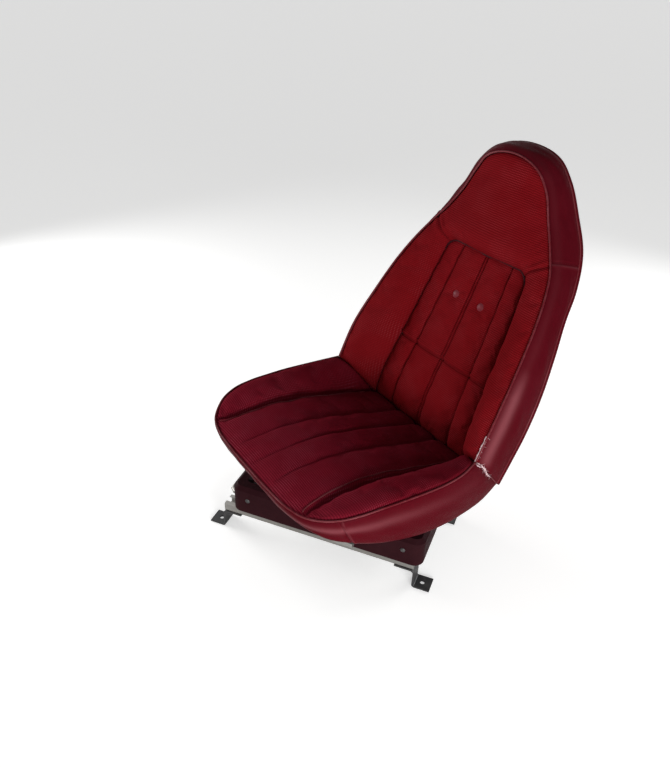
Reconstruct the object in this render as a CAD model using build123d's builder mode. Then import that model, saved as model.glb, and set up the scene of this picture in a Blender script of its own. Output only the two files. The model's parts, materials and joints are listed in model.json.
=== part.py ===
from build123d import *
import os
from math import atan2, cos, radians, sin

os.makedirs("parts", exist_ok=True)

# High-back swivel bucket seat on its slide tracks. Millimetres, +Z up, floor at z = 0.
# The origin is the centre of the four floor bolts. -Y is the vehicle's forward
# direction and +X its left, the door side.

# Where the seat stands on its tracks
rest_turn = 56.4            # swivel angle of the seat at rest, towards the door
axis_y = 53.0               # swivel axis behind the centre of the floor bolts

# Backrest, measured in the seat's own frame: y rearwards from the swivel axis
back_tilt = 23.6            # backrest face, from the vertical
junction_y = 110.0          # where the side piping of cushion and back meet
junction_z = 326.0
mitre_low_y = 195.0         # lower end of the mitre seam between cushion and back
mitre_low_z = 212.0
panel_depth = 70.0          # pleated back panel behind the line of the front piping
panel_low = -50.0           # its lower end, up the back from the junction
panel_top = 386.0
panel_low_half = 168.0
panel_top_half = 121.5
panel_corner = 34.0
cross_seam_at = 127.0

# Cushion
well_rear_y = 166.0         # pleated panel of the cushion: from the bight to the front lip
well_rear_z = 262.0
well_front_y = -257.0
well_front_z = 303.0
well_half = 168.0
well_corner = 40.0
well_spread = 0.7           # widening of the lifted cushion panel for each mm of its lift

# Upholstery
boxing = 14.0               # thickness of the vinyl side bands
pleat_rise = 6.0
pleat_shoulder = 13.0       # slope on each side of a pleat's flat top
back_pleat_body = 12.0      # thickness of the pleated panels under their seams
cushion_pleat_body = 22.0
panel_gap = 0.5             # between a pleated panel and the sides of its bay
back_seams = [-0.62, 0.0, 0.62]       # shares of the panel's half width
cushion_seams = [-0.4, 0.0, 0.4]
seam_width = 3.0
shell_edge = 4.0            # moulded rear panel: its thickness at the edge
shell_lap = 12.0            # stock in front of that edge, which the back's rear face trims
button_radius = 10.0
button_height = 6.0
button_taper = 25.0
button_half_gap = 39.0
button_along = 275.0

# Floor feet and tracks
track_half = 118.0          # sideways distance of each track from the middle
track_length = 480.0
track_width = 36.0
track_height = 22.0
track_wall = 2.0
track_slot = 15.0
foot_height = 52.0
foot_gauge = 4.0
foot_width = 40.0
foot_pad = 42.0
foot_tongue = 45.0
foot_bend = 7.0
bolt_radius = 5.5

# Sliding pedestal
slider_length = 320.0
slider_middle = 23.0
slider_gap = 1.0
slider_web = 6.0
pedestal_front = -212.0     # front and rear faces of the pedestal's cover
pedestal_rear = 259.0
rail_end_gap = 14.0         # from the cover's end to the end of each rail
rail_low = 84.0
rail_high = 139.0
rail_width = 34.0
rail_gauge = 2.5
rail_bend = 5.0
rail_hole_radius = 13.0
rail_hole_spacing = 210.0
cross_rail_inset = 34.0
cross_rail_width = 24.0
cross_rail_low = 96.0
cross_rail_high = 128.0
cover_half = 150.0          # outer face of the moulded cover
cover_low = 80.0
cover_high = 152.0
cover_gauge = 2.5
cover_lip = 28.0
cover_corner = 24.0
cover_edge = 9.0
rib_width = 4.0
rib_low = 92.0
rib_high = 132.0
rib_spacing = 150.0
bail_radius = 4.0
bail_front = -250.0
bail_half = 88.0
bail_z = 72.0
bail_bend = 11.0            # each corner of the bar is cut this far back, as two shallow bends

# Swivel
plate = 3.0
base_plate_half_x = 132.0
base_plate_half_y = 150.0
race_outer = 106.0
race_wall = 4.0
race_gap = 1.0
race_height = 16.0
race_reach = 11.0           # height of each race inside that gap
pivot_radius = 12.0
pivot_gap = 0.05
pivot_foot = 21.0           # from the axis to each corner of its hexagon foot
pivot_stand = 4.0
top_plate_half = 140.0
top_plate_corner = 30.0
top_plate_z = rail_high + plate + race_height
riser_low = top_plate_z + plate

# Seat frame under the cushion
pan_gauge = 2.0
pan_half = 200.0
pan_gap = 0.3               # air between the pad and the pan
pan_bend = 60.0
riser_at = 108.0
riser_gauge = 3.0
riser_flange = 24.0
riser_half = 130.0
riser_stock = 90.0          # height of the blank that the pan's underside trims
lever_gauge = 4.0
lever_width = 16.0
lever_grip_radius = 6.0

# Directions of the turned seat
turn = radians(rest_turn)
tilt = radians(back_tilt)
up = Vector(0, 0, 1)
seat_x = Vector(cos(turn), sin(turn), 0)
seat_y = Vector(-sin(turn), cos(turn), 0)
swivel_axis = Vector(0, axis_y, 0)
along_back = seat_y * sin(tilt) + up * cos(tilt)
back_normal = seat_y * -cos(tilt) + up * sin(tilt)
back_root = swivel_axis + seat_y * junction_y + up * junction_z

# Directions of the dished cushion panel, which climbs towards the front
well_slope = atan2(well_front_z - well_rear_z, well_rear_y - well_front_y)
well_length = (well_rear_y - well_front_y) / cos(well_slope)
well_origin = swivel_axis + seat_y * well_rear_y + up * well_rear_z
along_well = seat_y * -cos(well_slope) + up * sin(well_slope)
well_normal = seat_y * sin(well_slope) + up * cos(well_slope)

# Mitre plane between cushion and back
mitre_angle = atan2(junction_z - mitre_low_z, mitre_low_y - junction_y)
mitre = Plane(origin=back_root, x_dir=seat_x, z_dir=seat_y * sin(mitre_angle) + up * cos(mitre_angle))

span = 620.0                # reach of a cut that is wider than the seat


def level(height):
    """Horizontal plane: local x is the sitter's left, local y is rearwards."""
    return Plane(origin=swivel_axis + up * height, x_dir=seat_x, z_dir=up)


def side_view(offset=0.0):
    """Upright fore-and-aft plane: local x is rearwards, local y is up."""
    return Plane(origin=swivel_axis + seat_x * offset, x_dir=seat_y, z_dir=seat_x)


def back_face(depth=0.0):
    """Plane of the backrest: local x is the sitter's left, local y runs up the back."""
    return Plane(origin=back_root - back_normal * depth, x_dir=seat_x, z_dir=back_normal)


def back_section(reach, depth=0.0):
    """Plane across the back: local x is the sitter's left, local y points forwards."""
    origin = back_root + along_back * reach - back_normal * depth
    return Plane(origin=origin, x_dir=seat_x, z_dir=-along_back)


def well_face(depth=0.0):
    """Plane of the pleated cushion panel: local y runs forwards from the bight."""
    return Plane(origin=well_origin - well_normal * depth, x_dir=-seat_x, z_dir=well_normal)


def well_section(reach):
    """Plane across the cushion panel: local y points out of the cloth."""
    return Plane(origin=well_origin + along_well * reach, x_dir=seat_x, z_dir=along_well)


def closed_face(plane, points, radii):
    """Face with a closed outline of straight runs and tangent arcs."""
    with BuildSketch(plane) as outline:
        with BuildLine():
            FilletPolyline(*points, radius=radii, close=True)
        make_face()
    return outline.sketch


def symmetric_face(plane, half, radii, inset=0.0):
    """Face whose outline mirrors the points of its left half, pulled in by an inset."""
    points = half + [(-x, y) for x, y in reversed(half)]
    with BuildSketch(plane) as outline:
        with BuildLine():
            FilletPolyline(*points, radius=radii + list(reversed(radii)), close=True)
        make_face()
        if inset:
            offset(amount=-inset, kind=Kind.INTERSECTION)
    return outline.sketch


def bent_sheet(plane, points, bend, gauge, side):
    """Section of bent sheet metal: a path with rounded bends, thickened to one side."""
    with BuildSketch(plane) as section:
        with BuildLine():
            path = FilletPolyline(*points, radius=bend)
            offset(path, amount=gauge, side=side)
        make_face()
    return section.sketch


# Front view of the back: wide shoulders that taper to a rounded head
back_half = [(255, -190), (253, 80), (223, 300), (112, 560), (62, 630)]
back_radii = [20, 600, 240, 110, 95]

# Side view of the back as (rearwards, up); both ends run past the mitre
back_front = [(88, 286), (254, 592), (316, 672), (344, 735), (355, 800), (359, 874)]
back_front_radii = [0, 400, 160, 130, 220, 10]
back_rear = [(412, 886), (406, 838), (401, 775), (391, 706), (336, 592), (266, 410), (188, 192)]
back_rear_radii = [14, 60, 200, 200, 300, 900, 0]

# Plan of the cushion: nearly straight front edge, round corners, bowed sides
cushion_half = [(150, -293), (232, -280), (269, -215), (273, -30), (254, 110), (254, 190)]
cushion_radii = [400, 84, 120, 900, 700, 20]

# Side view of the cushion as (rearwards, up); its rear end runs past the mitre
cushion_top = [(-293, 312), (-235, 322), (-150, 331), (10, 321), (160, 328)]
cushion_top_radii = [14, 120, 300, 400, 0]
cushion_low = [(222, 227), (150, 187), (0, 185), (-95, 202), (-258, 262)]
cushion_low_radii = [0, 30, 300, 200, 12]


def back_outline(inset=0.0):
    return symmetric_face(back_face(), back_half, back_radii, inset)


def back_profile():
    return closed_face(side_view(), back_front + back_rear, back_front_radii + back_rear_radii)


def cushion_outline(inset=0.0):
    return symmetric_face(level(0), cushion_half, cushion_radii, inset)


def cushion_profile():
    return closed_face(side_view(), cushion_top + cushion_low, cushion_top_radii + cushion_low_radii)


def panel_half(reach):
    """Half width of the pleated back panel, which tapers from the bight to its top."""
    share = (panel_top - reach) / (panel_top - panel_low)
    return panel_top_half + share * (panel_low_half - panel_top_half)


def back_bay(depth, swell=0.0, rise=0.0):
    """Front view of the bay in the back at one depth, wider by swell and taller by rise."""
    low = panel_low - 200
    half = [(panel_half(low) + swell, low), (panel_top_half + swell, panel_top + rise)]
    return symmetric_face(back_face(depth), half, [8, panel_corner + swell / 4])


def cushion_bay(depth, swell=0.0, rise=0.0, gap=0.0):
    """Plan of the dished bay in the cushion at one depth, wider by swell, longer by rise."""
    half = [(well_half + swell - gap, -120), (well_half + swell - gap, well_length + rise - gap)]
    return symmetric_face(well_face(depth), half, [8, well_corner + swell / 4])


def pleats(half, seams, height):
    """Flat-topped pleats side by side between the seams, drawn above one height."""
    edges = [-1.0] + seams + [1.0]
    for low, high in zip(edges, edges[1:]):
        Polyline((low * half, height), (low * half + pleat_shoulder, height + pleat_rise),
                 (high * half - pleat_shoulder, height + pleat_rise), (high * half, height))


def back_pleats(reach):
    """Cross-section of the back's pleated panel on its flat rear face."""
    half = panel_half(reach) - panel_gap
    with BuildSketch(back_section(reach, panel_depth)) as section:
        with BuildLine():
            Polyline((-half, 0), (-half, -back_pleat_body), (half, -back_pleat_body), (half, 0))
            pleats(half, back_seams, 0)
        make_face()
    return section.sketch


def cushion_pleats(reach, lift):
    """Cross-section of the cushion's pleated panel, whose seams lie a lift above the bay."""
    half = well_half - 2 * panel_gap
    wide = half + well_spread * lift
    with BuildSketch(well_section(reach)) as section:
        with BuildLine():
            Polyline((-wide, lift), (-half, 0), (-half, -cushion_pleat_body),
                     (half, -cushion_pleat_body), (half, 0), (wide, lift))
            pleats(wide, cushion_seams, lift)
        make_face()
    return section.sketch


# Rolled bolsters: each bay is cut in three stages of depth, swell and rise, floor to mouth
back_roll = [(panel_depth, 0, 0), (38, 14, 4), (12, 44, 14), (-12, 96, 30)]
cushion_roll = [(0, 0, 0), (-30, 22, 4), (-54, 56, 10), (-90, 120, 20)]

# Swell of the cushion's pleated panel towards its front: reach from the bight and lift
well_swell = [(0, 2), (116, 2), (216, 11), (316, 22), (372, 20), (well_length, 14)]

# Backrest pad: rolled bolsters and head around a deep bay for the pleated panel
with BuildPart() as back_pad:
    extrude(back_outline(boxing), amount=span, both=True)
    extrude(back_profile(), amount=span, both=True, mode=Mode.INTERSECT)
    for lower, upper in zip(back_roll, back_roll[1:]):
        loft([back_bay(*lower), back_bay(*upper)], ruled=True, mode=Mode.SUBTRACT)
    extrude(back_bay(panel_depth + back_pleat_body), amount=back_pleat_body + 1, mode=Mode.SUBTRACT)
    split(bisect_by=mitre, keep=Keep.TOP)
back_pad.part.label = "back_pad"
export_step(back_pad.part, "parts/back_pad.step")

# Pleated panel of the back: four tapering pleats, a cross seam and two button wells
with BuildPart() as back_insert:
    loft([back_pleats(panel_low), back_pleats(panel_top - panel_gap)], ruled=True)
    extrude(back_bay(panel_depth + back_pleat_body), amount=back_pleat_body + 2 * pleat_rise,
            mode=Mode.INTERSECT)
    with BuildSketch(back_face(panel_depth)):
        with Locations((0, cross_seam_at)):
            Rectangle(2 * panel_low_half, seam_width)
        with Locations((-button_half_gap, button_along), (button_half_gap, button_along)):
            RegularPolygon(button_radius + 1, 16)
    extrude(amount=2 * pleat_rise, mode=Mode.SUBTRACT)
    split(bisect_by=well_face(-well_swell[0][1] - pleat_rise - 0.2), keep=Keep.TOP)
back_insert.part.label = "back_insert"
export_step(back_insert.part, "parts/back_insert.step")

# Two covered buttons that tie the panel back
with BuildPart() as tuft_buttons:
    with BuildSketch(back_face(panel_depth)):
        with Locations((-button_half_gap, button_along), (button_half_gap, button_along)):
            RegularPolygon(button_radius, 16)
    extrude(amount=button_height, taper=button_taper)
tuft_buttons.part.label = "tuft_buttons"
export_step(tuft_buttons.part, "parts/tuft_buttons.step")

# Vinyl side band of the back
with BuildPart() as back_band:
    extrude(back_outline(), amount=span, both=True)
    extrude(back_outline(boxing), amount=span, both=True, mode=Mode.SUBTRACT)
    extrude(back_profile(), amount=span, both=True, mode=Mode.INTERSECT)
    split(bisect_by=mitre, keep=Keep.TOP)
back_band.part.label = "back_band"
export_step(back_band.part, "parts/back_band.step")

# Moulded rear panel, crowned across its width: each row gives a section's place up the
# back, the half width of its chord, the depth of the chord and the crown behind it
shell_sections = [
    (-140, 262, 127, 22), (139, 262, 109, 22), (334, 240, 101, 21), (461, 194, 105, 17),
    (528, 158, 87, 13), (588, 126, 66, 9), (640, 96, 50, 5),
]
with BuildPart() as back_shell:
    rings = []
    for reach, half, depth, crown in shell_sections:
        chord = -depth - shell_edge
        with BuildSketch(back_section(reach)) as ring:
            with BuildLine():
                Polyline((-half, chord), (-half, chord + shell_lap), (half, chord + shell_lap), (half, chord))
                ThreePointArc((half, chord), (0, chord - crown), (-half, chord))
            make_face()
        rings.append(ring.sketch)
    loft(rings, ruled=True)
    extrude(back_outline(), amount=span, both=True, mode=Mode.INTERSECT)
    extrude(back_profile(), amount=span, both=True, mode=Mode.SUBTRACT)
    split(bisect_by=mitre, keep=Keep.TOP)
back_shell.part.label = "back_shell"
export_step(back_shell.part, "parts/back_shell.step")

# Cushion pad: rolled sides and front lip around the dished bay
with BuildPart() as cushion_pad:
    extrude(cushion_outline(boxing), amount=span, both=True)
    extrude(cushion_profile(), amount=span, both=True, mode=Mode.INTERSECT)
    for lower, upper in zip(cushion_roll, cushion_roll[1:]):
        loft([cushion_bay(*lower), cushion_bay(*upper)], ruled=True, mode=Mode.SUBTRACT)
    extrude(cushion_bay(cushion_pleat_body), amount=cushion_pleat_body + 1, mode=Mode.SUBTRACT)
    split(bisect_by=mitre, keep=Keep.BOTTOM)
cushion_pad.part.label = "cushion_pad"
export_step(cushion_pad.part, "parts/cushion_pad.step")

# Pleated panel of the cushion: four pleats that run front to back and swell to the front
with BuildPart() as cushion_room:
    extrude(cushion_bay(cushion_pleat_body, gap=panel_gap), amount=cushion_pleat_body)
    loft([cushion_bay(*cushion_roll[0], panel_gap), cushion_bay(*cushion_roll[1], panel_gap)], ruled=True)
with BuildPart() as cushion_insert:
    loft([cushion_pleats(reach, lift) for reach, lift in well_swell], ruled=True)
    add(cushion_room.part, mode=Mode.INTERSECT)
    split(bisect_by=mitre, keep=Keep.BOTTOM)
cushion_insert.part.label = "cushion_insert"
export_step(cushion_insert.part, "parts/cushion_insert.step")

# Vinyl side and front band of the cushion
with BuildPart() as cushion_band:
    extrude(cushion_outline(), amount=span, both=True)
    extrude(cushion_outline(boxing), amount=span, both=True, mode=Mode.SUBTRACT)
    extrude(cushion_profile(), amount=span, both=True, mode=Mode.INTERSECT)
    split(bisect_by=mitre, keep=Keep.BOTTOM)
cushion_band.part.label = "cushion_band"
export_step(cushion_band.part, "parts/cushion_band.step")

# Pressed pan that follows the underside of the cushion
pan_line = [(140, 187 - pan_gap), (0, 185 - pan_gap), (-95, 202 - pan_gap), (-225, 249 - pan_gap)]
with BuildPart() as seat_pan:
    extrude(bent_sheet(side_view(), pan_line, pan_bend, pan_gauge, Side.LEFT), amount=pan_half, both=True)
seat_pan.part.label = "seat_pan"
export_step(seat_pan.part, "parts/seat_pan.step")

# Side brackets from the swivel plate up to the pan, with a foot flange turned inwards
for name, sign in (("left", 1), ("right", -1)):
    with BuildPart() as upright:
        with BuildSketch(side_view(sign * riser_at - riser_gauge / 2)):
            with Locations((0, riser_low)):
                Rectangle(2 * riser_half, riser_stock, align=(Align.CENTER, Align.MIN))
        extrude(amount=riser_gauge)
        add(seat_pan.part, mode=Mode.SUBTRACT)
    with BuildPart() as seat_riser:
        add(upright.solids().sort_by(Axis.Z)[0])
        with BuildSketch(level(riser_low)):
            with Locations((sign * (riser_at - riser_flange / 2), 0)):
                Rectangle(riser_flange, 2 * riser_half)
        extrude(amount=riser_gauge)
    seat_riser.part.label = f"seat_riser_{name}"
    export_step(seat_riser.part, f"parts/seat_riser_{name}.step")

# Rotating plate of the swivel, with the eye for the pivot
with BuildPart() as swivel_top_plate:
    with BuildSketch(level(top_plate_z)):
        RectangleRounded(2 * top_plate_half, 2 * top_plate_half, top_plate_corner)
        Circle(pivot_radius + pivot_gap, mode=Mode.SUBTRACT)
    extrude(amount=plate)
swivel_top_plate.part.label = "swivel_top_plate"
export_step(swivel_top_plate.part, "parts/swivel_top_plate.step")

with BuildPart() as race_upper:
    with BuildSketch(level(top_plate_z)):
        Circle(race_outer - race_wall - race_gap)
        Circle(race_outer - 2 * race_wall - race_gap, mode=Mode.SUBTRACT)
    extrude(amount=-race_reach)
race_upper.part.label = "race_upper"
export_step(race_upper.part, "parts/race_upper.step")

# Swivel release lever: a strap from the rotating plate out to the front corner, with a grip
lever_line = [(122, -92), (134, -128), (161, -158)]
grip_line = [(143, -170), (181, -146)]
with BuildPart() as swivel_lever:
    with BuildSketch(level(riser_low)):
        with BuildLine():
            FilletPolyline(*lever_line, radius=40)
        trace(line_width=lever_width)
    extrude(amount=lever_gauge)
    grip_start = swivel_axis + seat_x * grip_line[0][0] + seat_y * grip_line[0][1]
    grip_end = swivel_axis + seat_x * grip_line[1][0] + seat_y * grip_line[1][1]
    grip_height = up * (riser_low + lever_gauge / 2)
    with BuildSketch(Plane(origin=grip_start + grip_height, z_dir=grip_end - grip_start)):
        RectangleRounded(2 * lever_grip_radius, 2 * lever_grip_radius, lever_grip_radius / 2)
    extrude(amount=(grip_end - grip_start).length)
swivel_lever.part.label = "swivel_lever"
export_step(swivel_lever.part, "parts/swivel_lever.step")

# Floor tracks, the sliders that run in them, the pedestal's side rails and the feet
track_middle = foot_height + track_height / 2
rail_length = pedestal_rear - pedestal_front - 2 * rail_end_gap
for name, sign in (("left", 1), ("right", -1)):
    with BuildPart() as floor_track:
        with BuildSketch(Plane.XZ.offset(-track_length / 2)):
            with Locations((sign * track_half, track_middle)):
                RectangleRounded(track_width, track_height, 3)
                Rectangle(track_width - 2 * track_wall, track_height - 2 * track_wall, mode=Mode.SUBTRACT)
            with Locations((sign * track_half, foot_height + track_height)):
                Rectangle(track_slot, 3 * track_wall, mode=Mode.SUBTRACT)
        extrude(amount=track_length)
    floor_track.part.label = f"floor_track_{name}"
    export_step(floor_track.part, f"parts/floor_track_{name}.step")

    with BuildPart() as slider:
        with BuildSketch(Plane.XZ.offset(-slider_middle - slider_length / 2)):
            with Locations((sign * track_half, track_middle)):
                Rectangle(track_width - 2 * (track_wall + slider_gap),
                          track_height - 2 * (track_wall + slider_gap))
                Rectangle(slider_web, rail_low - track_middle, align=(Align.CENTER, Align.MIN))
        extrude(amount=slider_length)
    slider.part.label = f"slider_{name}"
    export_step(slider.part, f"parts/slider_{name}.step")

    with BuildPart() as pedestal_rail:
        inner = sign * (track_half - rail_width / 2)
        outer = sign * (track_half + rail_width / 2)
        rail_path = [(inner, rail_low), (outer, rail_low), (outer, rail_high), (inner, rail_high)]
        extrude(bent_sheet(Plane.XZ.offset(rail_end_gap - pedestal_rear), rail_path, rail_bend, rail_gauge,
                           Side.LEFT if sign > 0 else Side.RIGHT), amount=rail_length)
        with BuildSketch(Plane.YZ.offset(sign * track_half)):
            with Locations(((pedestal_rear + pedestal_front) / 2, (rail_low + rail_high) / 2)):
                with GridLocations(rail_hole_spacing, 1, 2, 1):
                    Circle(rail_hole_radius)
        extrude(amount=sign * rail_width, mode=Mode.SUBTRACT)
    pedestal_rail.part.label = f"pedestal_rail_{name}"
    export_step(pedestal_rail.part, f"parts/pedestal_rail_{name}.step")

    for end, way in (("front", -1), ("rear", 1)):
        track_end = way * track_length / 2
        foot_path = [
            (track_end + way * foot_pad, 0), (track_end, 0), (track_end, foot_height - foot_gauge),
            (track_end - way * foot_tongue, foot_height - foot_gauge),
        ]
        with BuildPart() as foot:
            extrude(bent_sheet(Plane.YZ.offset(sign * track_half - foot_width / 2), foot_path, foot_bend,
                               foot_gauge, Side.LEFT if way < 0 else Side.RIGHT), amount=foot_width)
            with Locations((sign * track_half, track_end + way * foot_pad / 2, foot_gauge)):
                Hole(bolt_radius)
        foot.part.label = f"foot_{end}_{name}"
        export_step(foot.part, f"parts/foot_{end}_{name}.step")

# Cross rails that tie the pedestal's two sides
cross_half = track_half + rail_width / 2 - rail_gauge
for end, place in (("front", pedestal_front + cross_rail_inset), ("rear", pedestal_rear - cross_rail_inset)):
    near = place - cross_rail_width / 2
    far = place + cross_rail_width / 2
    cross_path = [
        (near, cross_rail_low), (near, cross_rail_high), (far, cross_rail_high), (far, cross_rail_low),
    ]
    with BuildPart() as cross_rail:
        extrude(bent_sheet(Plane.YZ.offset(-cross_half), cross_path, rail_bend, rail_gauge, Side.RIGHT),
                amount=2 * cross_half)
    cross_rail.part.label = f"cross_rail_{end}"
    export_step(cross_rail.part, f"parts/cross_rail_{end}.step")

# Fixed plate of the swivel on the two rails
with BuildPart() as swivel_base_plate:
    with BuildSketch(Plane.XY.offset(rail_high)):
        with Locations((0, axis_y)):
            RectangleRounded(2 * base_plate_half_x, 2 * base_plate_half_y, 12)
    extrude(amount=plate)
swivel_base_plate.part.label = "swivel_base_plate"
export_step(swivel_base_plate.part, "parts/swivel_base_plate.step")

with BuildPart() as race_lower:
    with BuildSketch(Plane.XY.offset(rail_high + plate)):
        with Locations((0, axis_y)):
            Circle(race_outer)
            Circle(race_outer - race_wall, mode=Mode.SUBTRACT)
    extrude(amount=race_reach)
race_lower.part.label = "race_lower"
export_step(race_lower.part, "parts/race_lower.step")

# Stud with a hexagon foot that the seat turns on, through the eye of the top plate
with BuildPart() as pivot_stud:
    with BuildSketch(Plane.XY.offset(rail_high + plate)):
        with Locations((0, axis_y)):
            RegularPolygon(pivot_foot, 6)
    extrude(amount=race_height - 1)
    with BuildSketch(Plane.XY.offset(rail_high + plate)):
        with Locations((0, axis_y)):
            Circle(pivot_radius)
    extrude(amount=race_height + plate + pivot_stand)
pivot_stud.part.label = "pivot_stud"
export_step(pivot_stud.part, "parts/pivot_stud.step")

# Moulded cover around the pedestal: an open skirt with a sloped top edge, an inner lip
# and ribs that stand against the rails, moulded as a left and a right half
cover_length = pedestal_rear - pedestal_front
cover_middle = (pedestal_rear + pedestal_front) / 2
rib_reach = cover_half - cover_gauge / 2 - track_half - rail_width / 2
with BuildPart() as whole_cover:
    with BuildSketch(Plane.XY.offset(cover_low)):
        with Locations((0, cover_middle)):
            RectangleRounded(2 * cover_half, cover_length, cover_corner)
    extrude(amount=cover_high - cover_low)
    chamfer(whole_cover.faces().sort_by(Axis.Z)[-1].edges(), cover_edge)
    offset(amount=-cover_gauge, openings=whole_cover.faces().sort_by(Axis.Z)[0])
    with BuildSketch(Plane.XY.offset(cover_high)):
        with Locations((0, cover_middle)):
            RectangleRounded(2 * (cover_half - cover_lip), cover_length - 2 * cover_lip, cover_corner / 2)
    extrude(amount=-2 * cover_gauge, mode=Mode.SUBTRACT)
    for sign in (-1, 1):
        with BuildSketch(Plane.YZ.offset(sign * (track_half + rail_width / 2))):
            with Locations((cover_middle, (rib_low + rib_high) / 2)):
                with GridLocations(rib_spacing, 1, 3, 1):
                    Rectangle(rib_width, rib_high - rib_low)
        extrude(amount=sign * rib_reach)

for name, half_kept in (("left", Keep.TOP), ("right", Keep.BOTTOM)):
    with BuildPart() as side_cover:
        add(whole_cover.part)
        split(bisect_by=Plane.YZ, keep=half_kept)
    side_cover.part.label = f"side_cover_{name}"
    export_step(side_cover.part, f"parts/side_cover_{name}.step")

# Bail under the front of the pedestal that frees both sliders; its arms go up into the
# front cross rail
with BuildPart() as slide_release_bar:
    arm_y = pedestal_front + cross_rail_inset
    arm_top = cross_rail_high - rail_gauge
    with BuildLine() as bail_path:
        Polyline(
            (bail_half, arm_y, arm_top), (bail_half, arm_y, bail_z + bail_bend),
            (bail_half, arm_y - bail_bend, bail_z), (bail_half, bail_front + bail_bend, bail_z),
            (bail_half - bail_bend, bail_front, bail_z), (bail_bend - bail_half, bail_front, bail_z),
            (-bail_half, bail_front + bail_bend, bail_z), (-bail_half, arm_y - bail_bend, bail_z),
            (-bail_half, arm_y, bail_z + bail_bend), (-bail_half, arm_y, arm_top),
        )
    with BuildSketch(Plane(origin=bail_path.line @ 0, z_dir=bail_path.line % 0)):
        RegularPolygon(bail_radius, 8)
    sweep(transition=Transition.RIGHT)
slide_release_bar.part.label = "slide_release_bar"
export_step(slide_release_bar.part, "parts/slide_release_bar.step")
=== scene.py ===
import json
import math

import bmesh
import bpy
import numpy as np
from mathutils import Matrix


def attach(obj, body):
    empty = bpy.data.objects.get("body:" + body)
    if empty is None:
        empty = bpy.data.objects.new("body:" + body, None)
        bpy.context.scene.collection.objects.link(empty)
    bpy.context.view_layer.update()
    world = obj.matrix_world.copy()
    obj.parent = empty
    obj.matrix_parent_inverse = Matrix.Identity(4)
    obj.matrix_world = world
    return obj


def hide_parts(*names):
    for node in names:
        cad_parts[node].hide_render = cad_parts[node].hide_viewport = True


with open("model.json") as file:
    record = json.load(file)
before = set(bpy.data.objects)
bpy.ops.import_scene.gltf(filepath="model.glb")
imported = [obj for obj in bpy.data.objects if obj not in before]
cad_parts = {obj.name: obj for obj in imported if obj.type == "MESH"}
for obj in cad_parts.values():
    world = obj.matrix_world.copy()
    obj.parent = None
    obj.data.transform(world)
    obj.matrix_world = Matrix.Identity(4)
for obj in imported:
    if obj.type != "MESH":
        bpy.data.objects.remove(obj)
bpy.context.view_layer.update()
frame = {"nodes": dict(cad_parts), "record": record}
nodes = frame["nodes"]

# Metres. The row frame has its origin on the floor between the bolts, -Y the vehicle's forward
# direction and +Z up. The seat's own frame has x to the sitter's left, y rearwards from the
# swivel axis and z up, and is turned out towards the door at rest.
swivel = {joint["name"]: joint for joint in frame["record"]["behaviour"]["joints"]}["swivel"]
axis_x, axis_y = swivel["pos_m"][:2]
rest_turn = math.radians(-swivel["range_deg"][0])

# Where back and cushion meet, in the seat's own frame
back_tilt = math.radians(23.6)
junction_y = 0.110
junction_z = 0.326

# The pleated panel of the back, measured sideways, up the back and into it
panel_depth = 0.070
panel_sink = 0.018          # how much deeper the panel lies at its lower end
panel_sink_from = 0.060     # the height below which it sinks
panel_low = -0.049
panel_top = 0.386
panel_foot = -0.050         # the height at which the foot's half width is stated
panel_foot_half = 0.168
panel_top_half = 0.1215
panel_corner = 0.032
panel_seams = 0.62          # side seams, as a share of the panel's half width
middle_pleat = 0.0035       # half width of the narrow middle pleat
panel_pleats = (0.0065, 0.0065, 0.0025, 0.0065, 0.0065)    # how far each of the five stands out
pleat_groove = 0.0028
pleat_groove_width = 0.0020
cross_seam_at = 0.127
cross_groove = 0.0050
cross_groove_width = 0.0032
button_half_gap = 0.040
button_along = 0.275
button_radius = 0.0105
dimple_depth = 0.0085
dimple_width = 0.017

# Stations of the sewn seams, from the junction round the sitter's left side to the middle.
# On the back: sideways, up the back and into it.
back_welt_stations = [
    (0.253, 0, 0), (0.2502, 0.1, 0.0011), (0.2376, 0.2, 0.0145), (0.2194, 0.3, 0.0301),
    (0.2054, 0.35, 0.0394), (0.1852, 0.4, 0.0484), (0.155, 0.45, 0.0509), (0.1258, 0.5, 0.0441),
    (0.1007, 0.55, 0.031), (0.0794, 0.5759, 0.0185), (0, 0.5998, 0.0094),
]
rear_welt_stations = [
    (0.247, -0.06, 0.1229), (0.2514, 0, 0.1177), (0.2546, 0.075, 0.1132), (0.2513, 0.164, 0.1076),
    (0.2403, 0.2496, 0.1025), (0.2251, 0.3298, 0.1005), (0.2126, 0.3894, 0.1071),
    (0.1875, 0.4682, 0.1025), (0.1531, 0.528, 0.0853), (0.116, 0.5841, 0.0657),
    (0.0755, 0.6174, 0.0598), (0, 0.6327, 0.0558),
]
head_seam_at = 0.420        # height at which the seam between bolster and head meets the welt

# On the cushion: x, y and z of the seat's own frame.
cushion_welt_stations = [
    (0.253, junction_y, junction_z), (0.266, 0.06, 0.3215), (0.271, 0.01, 0.322), (0.2715, -0.04, 0.325),
    (0.269, -0.09, 0.3275), (0.265, -0.14, 0.3295), (0.257, -0.19, 0.3275), (0.243, -0.224, 0.322),
    (0.22, -0.252, 0.3155), (0.19, -0.274, 0.3115), (0.15, -0.286, 0.31), (0.08, -0.292, 0.31),
    (0, -0.293, 0.31),
]
cushion_hem_stations = [
    (0.247, 0.1986, 0.2218), (0.249, 0.15, 0.1935), (0.253, 0.1, 0.188), (0.257, 0.04, 0.1885),
    (0.257, -0.02, 0.1935), (0.254, -0.09, 0.209), (0.25, -0.15, 0.2295), (0.238, -0.2, 0.249),
    (0.216, -0.232, 0.258), (0.18, -0.25, 0.262), (0.12, -0.259, 0.263), (0, -0.262, 0.263),
]
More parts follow.
